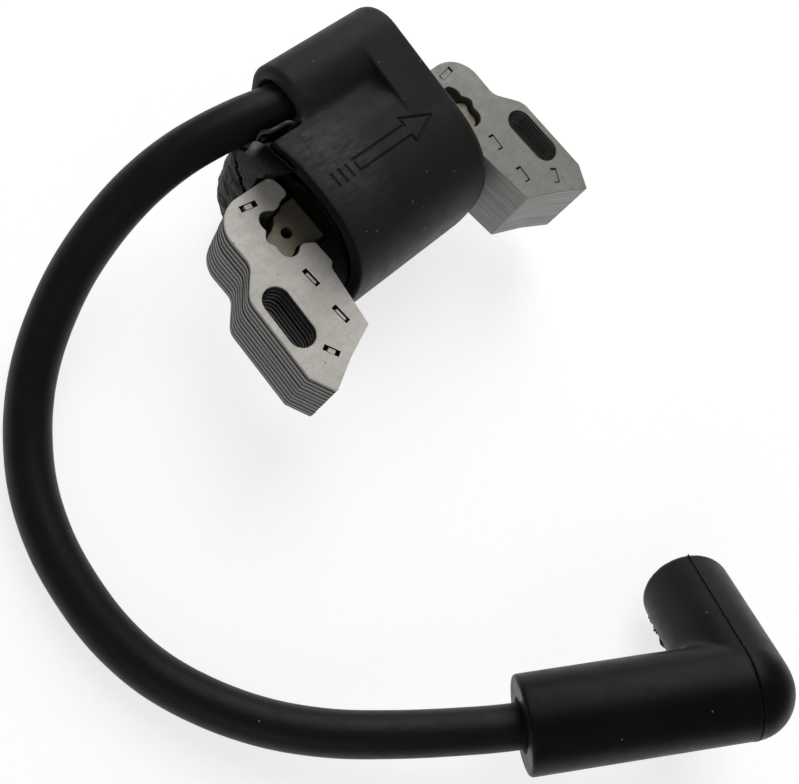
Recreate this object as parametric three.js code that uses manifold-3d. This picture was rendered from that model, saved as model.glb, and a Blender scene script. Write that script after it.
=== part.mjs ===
// Solid-state ignition coil of a small engine: two laminated pole legs, a core bar that joins
// them through a potted coil housing, and a high-tension lead that ends in an elbow plug boot.
// Units are millimetres. +Z is the normal of the face that looks away from the flywheel,
// +X runs along the core bar and +Y points away from the flywheel. z = 0 is the back of the housing.
import * as THREE from "three";
import { mergeVertices } from "three/addons/utils/BufferGeometryUtils.js";
import Module from "manifold-3d";

const wasm = await Module();
wasm.setup();

// ---- driving dimensions -------------------------------------------------
const OFFSET = [0, 0.655, 7.5]; // moves the core frame so that the housing back is z = 0 and the body is centred
const STACK = 14.54; // thickness of a leg's lamination pack
const BAR_TOP = 13.3, BAR_BOTTOM = 1.2; // the core bar's pack is a little thinner than the legs
const SLOT_X = 28.575, SLOT_Y0 = -7.5, SLOT_Y1 = -13.6, SLOT_R = 2.25, SLOT_LEAN = 0.15;
const CORE_Y = 0.45, CORE_Z = 7.25; // axis of the core bar and of the windings
const BODY_Y = 1.5, BODY_Z = 8.0, BODY_A = 15.2, BODY_B = 15.45, BODY_N = 2.5; // housing section
const BACK_Z = -7.5, BACK_B = 16.2, BACK_N = 3; // lower half of the section and the flat back
const BODY_X0 = -16, BODY_X1 = 14, WALL = 2.1, FLOOR_X = 11.7;
const BOSS_Y = 15.9, BOSS_Z = 18.25, BOSS_R = 6.3, BOSS_X0 = -9;
const STEP_X = 5.6; // where the groove beside the lead boss ends
const LEAD_D = 7.0, LEAD_GAP = 0.3;
const NOSE_R = 11.7, NOSE_X = -18.2; // end of the winding former that stands out of the housing
// elbow boot: corner of the elbow, direction of the lead arm and of the plug arm
const ELBOW = [-10.62, -99.15, 15.42];
const ARM_A = [-0.788, 0.537, -0.303], ARM_B = [0.568, 0.441, -0.695];
const BOOT_R = 7.65, PLUG_R = 7.72, ARM_A_LEN = 35.2, ARM_B_LEN = 25.1;
const SOCKET_R = 6.1, SOCKET_DEPTH = 10.5, THROAT_R = 4.7, THROAT_DEPTH = 18.5;

// ---- helpers ------------------------------------------------------------
const root = new THREE.Group();
root.position.set(...OFFSET);
const V = (a) => new THREE.Vector3(...a);

// closed geometry -> solid
function solid(g) {
  const c = g.index ? g.toNonIndexed() : g.clone();
  const b = new THREE.BufferGeometry().setAttribute("position", c.getAttribute("position"));
  const m = mergeVertices(b, 1e-4);
  let s = new wasm.Manifold(new wasm.Mesh({ numProp: 3, vertProperties: m.attributes.position.array, triVerts: new Uint32Array(m.index.array) }));
  return s;
}
// solid -> geometry
function geometry(s) {
  const m = s.getMesh(), n = m.numProp, v = new Float32Array(m.numVert * 3);
  for (let i = 0; i < m.numVert; i++) v.set(m.vertProperties.subarray(i * n, i * n + 3), i * 3);
  const g = new THREE.BufferGeometry().setAttribute("position", new THREE.BufferAttribute(v, 3));
  g.setIndex(new THREE.BufferAttribute(m.triVerts, 1));
  g.computeVertexNormals();
  return g;
}
// polygon in (x, y) extruded from z0 to z1
function prismZ(pts, z0, z1, holes = []) {
  const s = new THREE.Shape(pts.map((p) => new THREE.Vector2(p[0], p[1])));
  for (const h of holes) s.holes.push(new THREE.Path(h.map((p) => new THREE.Vector2(p[0], p[1]))));
  const g = new THREE.ExtrudeGeometry(s, { depth: z1 - z0, bevelEnabled: false, steps: 1 });
  g.translate(0, 0, z0);
  return g;
}
// polygon in (y, z) extruded from x0 to x1
function prismX(pts, x0, x1, holes = []) {
  const g = prismZ(pts, x0, x1, holes);
  g.applyMatrix4(new THREE.Matrix4().makeBasis(V([0, 1, 0]), V([0, 0, 1]), V([1, 0, 0])));
  return g;
}
const circle = (cx, cy, r, n) => [...Array(n)].map((_, i) => [cx + r * Math.cos((2 * Math.PI * i) / n), cy + r * Math.sin((2 * Math.PI * i) / n)]);
const rounded = (cx, cy, hx, hy, r, n = 6) => {
  const out = [];
  for (const [sx, sy, a0] of [[1, 1, 0], [-1, 1, 90], [-1, -1, 180], [1, -1, 270]])
    for (let i = 0; i <= n; i++) {
      const a = ((a0 + (90 * i) / n) * Math.PI) / 180;
      out.push([cx + sx * (hx - r) + r * Math.cos(a), cy + sy * (hy - r) + r * Math.sin(a)]);
    }
  return out;
};
// polygon with a fillet at each corner [x, y, r]
function filleted(corners, seg = 6) {
  const out = [];
  const n = corners.length;
  corners.forEach(([x, y, r], i) => {
    const p = corners[(i + n - 1) % n], q = corners[(i + 1) % n];
    if (!r) { out.push([x, y]); return; }
    const c = new THREE.Vector2(x, y);
    const a = new THREE.Vector2(p[0] - x, p[1] - y).normalize();
    const b = new THREE.Vector2(q[0] - x, q[1] - y).normalize();
    const half = Math.acos(THREE.MathUtils.clamp(a.dot(b), -1, 1)) / 2;
    const t = r / Math.tan(half);
    const s = c.clone().addScaledVector(a, t), e = c.clone().addScaledVector(b, t);
    const m = a.clone().add(b).normalize().multiplyScalar(r / Math.sin(half)).add(c);
    let a0 = Math.atan2(s.y - m.y, s.x - m.x), a1 = Math.atan2(e.y - m.y, e.x - m.x);
    let d = a1 - a0;
    while (d > Math.PI) d -= 2 * Math.PI;
    while (d < -Math.PI) d += 2 * Math.PI;
    const k = Math.max(2, Math.round((seg * Math.abs(d)) / (Math.PI / 2)));
    for (let j = 0; j <= k; j++) out.push([m.x + r * Math.cos(a0 + (d * j) / k), m.y + r * Math.sin(a0 + (d * j) / k)]);
  });
  return out;
}
// closed body through equal rings of points, capped at both ends
function loft(rings, capPlane) {
  const n = rings[0].length, pos = [], idx = [];
  rings.forEach((r) => r.forEach((p) => pos.push(...p)));
  for (let k = 0; k + 1 < rings.length; k++)
    for (let i = 0; i < n; i++) {
      const j = (i + 1) % n, a = k * n + i, b = k * n + j, c = a + n, d = b + n;
      idx.push(a, b, d, a, d, c);
    }
  const flat = (r) => r.map((p) => new THREE.Vector2(p[capPlane[0]], p[capPlane[1]]));
  THREE.ShapeUtils.triangulateShape(flat(rings[0]), []).forEach(([a, b, c]) => idx.push(a, c, b));
  const o = (rings.length - 1) * n;
  THREE.ShapeUtils.triangulateShape(flat(rings[rings.length - 1]), []).forEach(([a, b, c]) => idx.push(o + a, o + b, o + c));
  const g = new THREE.BufferGeometry().setAttribute("position", new THREE.Float32BufferAttribute(pos, 3));
  g.setIndex(idx);
  return g;
}
// cylinder from a to b
function rod(a, b, r, n = 24, r2 = r) {
  const A = V(a), B = V(b), d = B.clone().sub(A);
  const g = new THREE.CylinderGeometry(r2, r, d.length(), n);
  g.translate(0, d.length() / 2, 0);
  g.applyQuaternion(new THREE.Quaternion().setFromUnitVectors(V([0, 1, 0]), d.clone().normalize()));
  g.translate(A.x, A.y, A.z);
  return g;
}
// solid of revolution about a to b; profile is [along, radius]
function turned(a, dir, profile, n = 32) {
  const g = new THREE.LatheGeometry(profile.map(([t, r]) => new THREE.Vector2(r, t)), n);
  g.applyQuaternion(new THREE.Quaternion().setFromUnitVectors(V([0, 1, 0]), V(dir).normalize()));
  g.translate(...a);
  return g;
}
function wire(points, r, steps, sides = 8) {
  const s = new THREE.Shape(circle(0, 0, r, sides).map((p) => new THREE.Vector2(...p)));
  return new THREE.ExtrudeGeometry(s, { steps, bevelEnabled: false, extrudePath: new THREE.CatmullRomCurve3(points.map(V), false, "centripetal") });
}
const material = {
  lamination: [0xa9a49c, 0.45, 0.85], bar: [0x7d766a, 0.5, 0.85], housing: [0x2d302e, 0.5, 0.0], potting: [0x262724, 0.7, 0.0],
  nylon: [0x3a3a36, 0.55, 0.0], copper: [0xb36a35, 0.35, 1.0], paper: [0xc9a86b, 0.8, 0.0], board: [0x2f5a36, 0.6, 0.0],
  chip: [0x1c1c1c, 0.5, 0.0], brass: [0xb99a55, 0.35, 1.0], steel: [0xb9bcbd, 0.3, 1.0], rubber: [0x232422, 0.75, 0.0], wirejacket: [0x6e706c, 0.6, 0.0],
};
function add(name, geo, mat) {
  const [c, r, m] = material[mat];
  const g = geo.isBufferGeometry ? geo : geometry(geo);
  const mesh = new THREE.Mesh(g, new THREE.MeshStandardMaterial({ color: c, roughness: r, metalness: m }));
  mesh.name = name;
  root.add(mesh);
  return mesh;
}

// ---- laminated legs -----------------------------------------------------
// wavy notch that takes the core bar, from its mouth round to the top tip
const notch = [
  [17.05, -4.1], [17.3, -3.6], [17.8, -3.35], [18.35, -3.0], [19.0, -2.82], [19.6, -2.95], [20.2, -3.35], [20.9, -3.6], [21.7, -3.5],
  [22.35, -3.05], [22.75, -2.35], [22.8, -1.5], [22.75, -0.8], [23.05, -0.2], [23.3, 0.35], [23.15, 1.0], [22.7, 1.55], [22.3, 2.05],
  [22.4, 2.7], [22.3, 3.4], [21.95, 4.05], [21.4, 4.5], [20.7, 4.62], [20.0, 4.4], [19.3, 3.98], [18.7, 3.85], [18.1, 3.95], [17.5, 4.3],
  [16.8, 4.6], [16.1, 4.65], [15.55, 4.95], [15.35, 5.6], [15.4, 6.5], [15.55, 7.35], [15.95, 8.1], [16.6, 8.55], [17.5, 8.6],
];
const legOutline = filleted([
  [27.9, 8.6, 5.2], [27.9, -0.9, 2.6], [31.75, -4.95, 3.2], [32.4, -19.4, 0.4], [30.3, -23.6, 0.3],
  [24.9, -20.85, 0], [19.1, -18.6, 0.3], [17.75, -8.4, 0.5], [16.95, -7.6, 0.5], ...notch,
]);
const slotHole = (sx) => {
  const x0 = SLOT_X - SLOT_LEAN, x1 = SLOT_X + SLOT_LEAN, out = [];
  for (let i = 0; i <= 12; i++) { const a = (Math.PI * i) / 12; out.push([sx * (x0 + SLOT_R * Math.cos(a)), SLOT_Y0 + SLOT_R * Math.sin(a)]); }
  for (let i = 0; i <= 12; i++) { const a = Math.PI + (Math.PI * i) / 12; out.push([sx * (x1 + SLOT_R * Math.cos(a)), SLOT_Y1 + SLOT_R * Math.sin(a)]); }
  return out;
};
const legGeo = (sx) => prismZ(legOutline.map(([x, y]) => [sx * x, y]), 0, STACK, [slotHole(sx)]);
add("leg_right_laminations", legGeo(1), "lamination");
add("leg_left_laminations", legGeo(-1), "lamination");

// ---- core bar: its lobed ends sit in the notches --------------------------
const barEnd = [
  [15.0, -3.35], [17.4, -3.2], [18.0, -2.95], [18.5, -2.62], [19.05, -2.45], [19.75, -2.6], [20.35, -3.0], [20.95, -3.25], [21.6, -3.15],
  [22.1, -2.8], [22.4, -2.25], [22.45, -1.5], [22.4, -0.65], [22.75, 0.0], [22.92, 0.4], [22.8, 0.85], [22.4, 1.3], [21.7, 1.6], [20.8, 1.95],
  [19.9, 2.6], [19.2, 3.35], [18.5, 3.5], [17.8, 3.65], [17.0, 4.1], [15.0, 4.25],
];
const barOutline = [...barEnd, ...barEnd.map(([x, y]) => [-x, y]).reverse()];
add("core_bar", prismZ(barOutline, BAR_BOTTOM, BAR_TOP, [circle(19.3, 0.2, 0.85, 12), circle(-19.3, 0.2, 0.85, 12)]), "bar");

// ---- housing --------------------------------------------------------------
const section = (inset, n = 56) => [...Array(n)].map((_, i) => {
  const t = (2 * Math.PI * i) / n, c = Math.cos(t), u = Math.sin(t), low = u < 0, e = 2 / (low ? BACK_N : BODY_N), b = low ? BACK_B : BODY_B;
  const y = BODY_Y + (BODY_A - inset) * Math.sign(c) * Math.abs(c) ** e, z = BODY_Z + (b - inset) * Math.sign(u) * Math.abs(u) ** e;
  return [y, Math.max(z, BACK_Z + inset)];
});
const bodyRing = (x, inset) => section(inset).map(([y, z]) => [x, y, z]);
const body = solid(loft([bodyRing(BODY_X0, 0.35), bodyRing(BODY_X0 + 0.4, 0), bodyRing(BODY_X1 - 1.4, 0), bodyRing(BODY_X1 - 0.6, 0.2), bodyRing(BODY_X1 - 0.15, 0.65), bodyRing(BODY_X1, 1.3)], [1, 2]));
// lead boss with the web that carries it on the body
const bossOutline = (inset) => {
  const r = BOSS_R - inset, out = [];
  for (let i = 0; i <= 20; i++) { const a = ((-8 + (208 * i) / 20) * Math.PI) / 180; out.push([BOSS_Y + r * Math.cos(a), BOSS_Z + r * Math.sin(a)]); }
  out.push([9.2 + inset, 13.5], [6, 8], [6, 1], [16.5 - inset, 1 + inset], [20.4 - inset, 8.5]);
  return out;
};
const bossRing = (x, inset) => bossOutline(inset).map(([y, z]) => [x, y, z]);
const boss = solid(loft([bossRing(BOSS_X0, 0.7), bossRing(BOSS_X0 + 0.3, 0.25), bossRing(BOSS_X0 + 0.8, 0), bossRing(BODY_X1 - 1.3, 0), bossRing(BODY_X1 - 0.55, 0.2), bossRing(BODY_X1 - 0.12, 0.6), bossRing(BODY_X1, 1.2)], [1, 2]));
// beyond the groove the front runs flat from the body to the crest of the boss
const plateau = (inset) => [[0, 12], [14, 12], [16.5, 20], [BOSS_Y + 0.6, BOSS_Z + BOSS_R - inset], [BOSS_Y - 0.6, BOSS_Z + BOSS_R - inset], [1.5, BODY_Z + BODY_B - inset], [0, BODY_Z + BODY_B - inset]];
const plateauRing = (x, inset) => plateau(inset).map(([y, z]) => [x, y, z]);
const flat = solid(loft([plateauRing(STEP_X, 0), plateauRing(BODY_X1 - 1.3, 0), plateauRing(BODY_X1 - 0.55, 0.2), plateauRing(BODY_X1 - 0.12, 0.6), plateauRing(BODY_X1, 1.2)], [1, 2]));
// left of the step the front falls in a shallow valley towards the boss
const lip = (x, inset) => [[0, 12], [11.6, 12], [11.6, 22.0 - inset], [10.9, 22.0 - inset], [10.2, 22.05 - inset], [9.2, 22.25 - inset], [8.0, 22.7 - inset], [6.8, 23.1 - inset], [5.4, BODY_Z + BODY_B - 0.05 - inset], [1.5, BODY_Z + BODY_B - inset], [0, BODY_Z + BODY_B - inset]].map(([y, z]) => [x, y, z]);
const front = solid(loft([lip(BODY_X0 + 0.1, 0.3), lip(BODY_X0 + 0.5, 0), lip(STEP_X + 2, 0)], [1, 2]));
const cavity = solid(loft([section(WALL).map(([y, z]) => [BODY_X0 - 1, y, z]), section(WALL).map(([y, z]) => [FLOOR_X - 1.2, y, z]), section(WALL + 1).map(([y, z]) => [FLOOR_X, y, z])], [1, 2]));
const pocket = solid(prismX([[11, 3.2], [16.0, 3.2], [17.6, 8.6], [17.6, 10.6], [11, 10.6]], -6.5, 11));
const leadHole = solid(rod([BOSS_X0 - 2, BOSS_Y + 0.1, BOSS_Z], [1.0, BOSS_Y + 0.1, BOSS_Z], LEAD_D / 2 + LEAD_GAP, 28));
// groove in the corner of the body where the lead runs past it
const leadGroove = solid(rod([-20, 18.2, 17.0], [-8.8, 16.0, 18.25], 4.2, 28));
// pocket in the corner of the open end where the primary wire comes out under the lead
const wirePocket = solid(prismX([[10.7, 16.6], [14.4, 16.6], [14.4, 25], [10.7, 25]], BODY_X0 - 1, -9.7));
const pinHole = solid(rod([0.5, BOSS_Y + 0.1, BOSS_Z], [6.5, BOSS_Y + 0.1, BOSS_Z], 1.0, 12));
const linkHole = solid(prismX(rounded(14.9, 13.6, 1.4, 5.0, 0.8, 3), 3.4, 6.6));
const barWindow = solid(prismX(rounded(CORE_Y, CORE_Z, 4.3, 6.45, 0.5, 2), FLOOR_X - 2, BODY_X1 + 1));
let shell = body.add(boss).add(flat).add(front).subtract(cavity).subtract(pocket).subtract(leadHole).subtract(leadGroove).subtract(wirePocket).subtract(pinHole).subtract(linkHole).subtract(barWindow);
add("coil_housing", shell, "housing");

// ---- windings on the core bar ----------------------------------------------
const ring = (o, i, x0, x1) => prismX(o, x0, x1, [i]);
const flange = (o, i, x, t = 1.2) => solid(ring(o, i, x, x + t));
const R = (h, v, r) => rounded(CORE_Y, CORE_Z, h, v, r, 5);
const C = (r, n = 40) => circle(CORE_Y, CORE_Z, r, n);
add("primary_bobbin", solid(ring(R(5.1, 7.25, 0.9), R(4.15, 6.35, 0.4), -12.6, 10.8)).add(flange(R(6.85, 8.75, 3.6), R(4.15, 6.35, 0.4), -12.6)).add(flange(R(6.85, 8.75, 3.6), R(4.15, 6.35, 0.4), 9.6)), "nylon");
add("primary_winding", ring(R(6.8, 8.7, 3.4), R(5.4, 7.55, 1.1), -11.1, 9.3), "copper");
add("winding_insulation", ring(C(10.1), C(9.85), -12.2, 10.4), "paper");
// the former ends in a nose that stands out of the housing beside the leg and laps over the rim
const NOSE_CLEAR = [[-30, -20], [9.0, -20], [9.0, 15.2], [4.8, 22.6], [4.8, 30], [-30, 30]]; // kept free for the leg
const legClearance = solid(prismX(NOSE_CLEAR, -25, -14.9));
const capRing = (x, inset) => section(inset).map(([y, z]) => [x, y, z]);
const noseCap = solid(loft([capRing(NOSE_X, 4.2), capRing(NOSE_X + 0.15, 3.0), capRing(NOSE_X + 0.5, 1.7), capRing(NOSE_X + 1.1, 0.75), capRing(NOSE_X + 1.95, 0.35)], [1, 2]));
add("secondary_bobbin", solid(ring(C(10.7), C(10.25), -13.3, 10.8)).add(flange(C(11.7), C(10.25), 9.8, 1.0)).add(flange(C(11.7), C(10.25), -3.2, 1.0)), "nylon");
add("former_nose", solid(ring(C(NOSE_R), R(4.25, 6.45, 0.4), NOSE_X + 1, -13.6)).add(noseCap).subtract(legClearance).subtract(solid(rod([-24, 18.5, 16.2], [-8.8, 16.0, 18.25], 4.2, 28))), "nylon");
add("secondary_winding_inner", ring(C(11.5), C(10.85), -1.9, 9.5), "copper");
add("secondary_winding_outer", ring(C(11.5), C(10.85), -13.2, -3.5), "copper");
// resin level inside the open end, around the nose
add("potting_compound", solid(prismX(section(WALL + 0.3), -14.2, -12.4)).subtract(solid(prismX(C(NOSE_R + 0.3), -15, -12))), "potting");

// ---- electronics beside the windings ----------------------------------------
add("control_board", prismX([[12.6, 8.9], [17.2, 8.9], [17.2, 9.9], [12.6, 9.9]], -6, 10.4), "board");
add("switching_transistor", prismX([[12.6, 6.3], [15.9, 6.3], [15.9, 8.6], [12.6, 8.6]], 3.2, 8.2), "chip");
add("timing_resistor", rod([-4.8, 14.4, 7.2], [-0.6, 14.4, 7.2], 1.1, 14), "paper");

// ---- high-tension terminal in the boss ---------------------------------------
add("lead_spike", turned([-2.9, BOSS_Y + 0.1, BOSS_Z], [1, 0, 0], [[0, 0], [1.2, 0.55], [3.5, 0.7], [6.6, 0.7], [6.6, 1.6 - 1.0], [7.4, 0.6], [7.4, 0]], 12), "brass");
add("high_tension_link", prismX([[14.5, 10.9], [15.5, 10.9], [15.5, 17.2], [14.5, 17.2]], 4.8, 5.8), "brass");
add("primary_lead_loop", wire([[-15.3, 13.0, 17.2], [-15.45, 13.2, 18.8], [-15.2, 13.2, 20.2], [-14.5, 12.5, 21.0], [-13.1, 12.25, 21.2], [-11.6, 12.05, 21.5], [-10.7, 11.6, 21.3], [-10.45, 11.4, 20.2], [-10.6, 11.4, 18.8]], 0.5, 30), "wirejacket");

// ---- high-tension lead ----------------------------------------------------------
const eA = V(ARM_A).normalize(), eB = V(ARM_B).addScaledVector(eA, -V(ARM_B).dot(eA)).normalize();
const along = (d, t, o = ELBOW) => V(o).addScaledVector(d, t).toArray();
const LEAD = [
  [-2.9 - 0.4, 16.0, 18.25], [-9, 16.1, 18.25], [-15.4, 17.2, 17.75], [-20.4, 18.0, 16.8], [-25.8, 18.6, 15.2], [-31.7, 18.6, 12.85], [-37.3, 17.9, 10.2],
  [-42.4, 16.7, 7.45], [-47.2, 15.0, 4.9], [-51.8, 12.7, 2.4], [-56.6, 9.6, 0.0], [-61.0, 5.8, -1.95], [-65.2, 0.9, -3.3], [-69.4, -5.8, -3.97],
  [-72.4, -13.6, -4.0], [-73.9, -21.6, -4.0], [-74.25, -29.8, -4.0], [-73.1, -37.9, -3.8], [-70.2, -46.1, -2.95], [-65.9, -54.0, -1.75],
  [-60.2, -61.3, -0.25], [-53.1, -68.2, 1.45], [-45.3, -74.9, 3.0], along(eA, ARM_A_LEN + 2), along(eA, 29), along(eA, 22),
];
add("high_tension_lead", wire(LEAD, LEAD_D / 2, 78, 12), "rubber");

// ---- elbow boot -------------------------------------------------------------------
const armLead = solid(turned(ELBOW, eA.toArray(), [[0, 0], [0, BOOT_R], [ARM_A_LEN - 0.8, BOOT_R], [ARM_A_LEN - 0.2, BOOT_R - 0.25], [ARM_A_LEN, BOOT_R - 0.8], [ARM_A_LEN, 0]], 36));
const armPlug = solid(turned(ELBOW, eB.toArray(), [[0, 0], [0, PLUG_R], [ARM_B_LEN - 0.6, PLUG_R], [ARM_B_LEN - 0.1, PLUG_R - 0.3], [ARM_B_LEN, PLUG_R - 0.8], [ARM_B_LEN, 0]], 36));
const ballGeo = new THREE.SphereGeometry(BOOT_R + 0.02, 32, 20);
ballGeo.translate(...ELBOW);
const leadBore = solid(rod(along(eA, 20), along(eA, ARM_A_LEN + 3), LEAD_D / 2 + LEAD_GAP, 28));
const prongBore = solid(rod(along(eA, -1), along(eA, 21), 1.3, 16));
const socket = solid(turned(along(eB, ARM_B_LEN + 2), eB.clone().negate().toArray(), [[0, 0], [0, SOCKET_R + 0.5], [2, SOCKET_R + 0.5], [2.6, SOCKET_R], [2 + SOCKET_DEPTH, SOCKET_R], [2.4 + SOCKET_DEPTH, THROAT_R], [2 + THROAT_DEPTH, THROAT_R], [2 + THROAT_DEPTH, 0]], 36));
const well = solid(rod(along(eB, -3.2), along(eB, 8), 3.1, 20));
add("plug_boot", armLead.add(armPlug).add(solid(ballGeo)).subtract(leadBore).subtract(prongBore).subtract(socket).subtract(well), "rubber");
// terminal: spring cup that snaps on the plug, its wire clip and the prong that enters the lead
add("plug_terminal", solid(turned(along(eB, 5.8), eB.toArray(), [[0, 0], [0, 2.6], [1.0, 2.6], [1.4, 4.2], [9.6, 4.2], [9.6, 3.55], [2.0, 3.55], [2.0, 0]], 28)).add(solid(rod(along(eB, -2.4), along(eB, 6.3), 1.9, 18))), "steel");
const clip = [...Array(25)].map((_, i) => { const a = ((20 + (320 * i) / 24) * Math.PI) / 180, u = eA, w = new THREE.Vector3().crossVectors(eB, eA); return V(along(eB, 16.2)).addScaledVector(u, 3.95 * Math.cos(a)).addScaledVector(w, 3.95 * Math.sin(a)).toArray(); });
add("terminal_clip", wire(clip, 0.38, 48, 8), "steel");
add("terminal_prong", turned(along(eA, 2.3), eA.toArray(), [[0, 0], [0, 0.9], [17.2, 0.9], [19.2, 0]], 14), "steel");

export default root;
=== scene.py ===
# Solid-state ignition coil of a small engine on a pale table: laminated legs, potted coil housing,
# high-tension lead and elbow boot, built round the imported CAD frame.
import bpy, bmesh, math, random
import numpy as np
from mathutils import Matrix, Vector, noise


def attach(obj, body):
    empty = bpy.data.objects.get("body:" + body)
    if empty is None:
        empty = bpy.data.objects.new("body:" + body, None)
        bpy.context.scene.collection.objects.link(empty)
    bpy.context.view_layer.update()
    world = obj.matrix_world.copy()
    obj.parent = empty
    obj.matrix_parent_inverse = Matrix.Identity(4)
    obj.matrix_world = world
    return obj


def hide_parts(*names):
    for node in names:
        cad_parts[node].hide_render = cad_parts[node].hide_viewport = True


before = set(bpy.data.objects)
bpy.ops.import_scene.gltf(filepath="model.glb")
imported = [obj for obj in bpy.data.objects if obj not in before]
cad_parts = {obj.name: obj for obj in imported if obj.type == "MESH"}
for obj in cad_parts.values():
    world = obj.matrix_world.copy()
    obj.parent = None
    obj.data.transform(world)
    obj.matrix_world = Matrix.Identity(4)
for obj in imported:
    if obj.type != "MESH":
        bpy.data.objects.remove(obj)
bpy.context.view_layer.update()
scene = bpy.context.scene
COL = scene.collection
OFF = Vector((0, 0.655, 7.5))  # core frame (mm) to row frame


def W(p):
    """core frame in mm -> row frame in metres"""
    return (Vector(p) + OFF) * 0.001


# ---------------------------------------------------------------- camera
cam = bpy.data.objects.new("camera", bpy.data.cameras.new("camera"))
COL.objects.link(cam)
R = ((0.68380091, -0.64277751, 0.34533083), (-0.57540877, -0.76604778, -0.2864883), (0.44868815, -0.00280543, -0.89368399))
cam.matrix_world = Matrix(((R[0][0], -R[1][0], -R[2][0], -0.09658), (R[0][1], -R[1][1], -R[2][1], -0.028395), (R[0][2], -R[1][2], -R[2][2], 0.16940), (0, 0, 0, 1)))
cam.data.lens, cam.data.sensor_width = 49.36, 36.0
cam.data.clip_start, cam.data.clip_end = 0.01, 10
scene.camera = cam

# ---------------------------------------------------------------- dimensions (mm, core frame)
STACK, BAR_TOP, BAR_BOTTOM = 14.54, 13.3, 1.2
SLOT_X, SLOT_Y0, SLOT_Y1, SLOT_R, SLOT_LEAN = 28.575, -7.5, -13.6, 2.25, 0.15
CORE_Y, CORE_Z = 0.45, 7.25
BODY_Y, BODY_Z, BODY_A, BODY_B, BODY_N = 1.5, 8.0, 15.2, 15.45, 2.5
BACK_Z, BACK_B, BACK_N = -7.5, 16.2, 3
BODY_X0, BODY_X1, WALL, FLOOR_X = -16.0, 14.0, 2.1, 11.7
BOSS_Y, BOSS_Z, BOSS_R, BOSS_X0 = 15.9, 18.25, 6.3, -9.0
STEP_X = 5.6
LEAD_D, LEAD_GAP = 7.0, 0.3
NOSE_R, NOSE_X = 11.7, -18.2
ELBOW = Vector((-10.62, -99.15, 15.42))
eA = Vector((-0.788, 0.537, -0.303)).normalized()
eB = Vector((0.568, 0.441, -0.695)); eB = (eB - eA * eB.dot(eA)).normalized()
eN = eA.cross(eB).normalized()
BOOT_R, PLUG_R, ARM_A_LEN, ARM_B_LEN = 7.65, 7.72, 35.2, 25.1
SOCKET_R, SOCKET_DEPTH, THROAT_R, THROAT_DEPTH = 6.1, 10.5, 4.7, 18.5

# ---------------------------------------------------------------- node helpers


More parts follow.
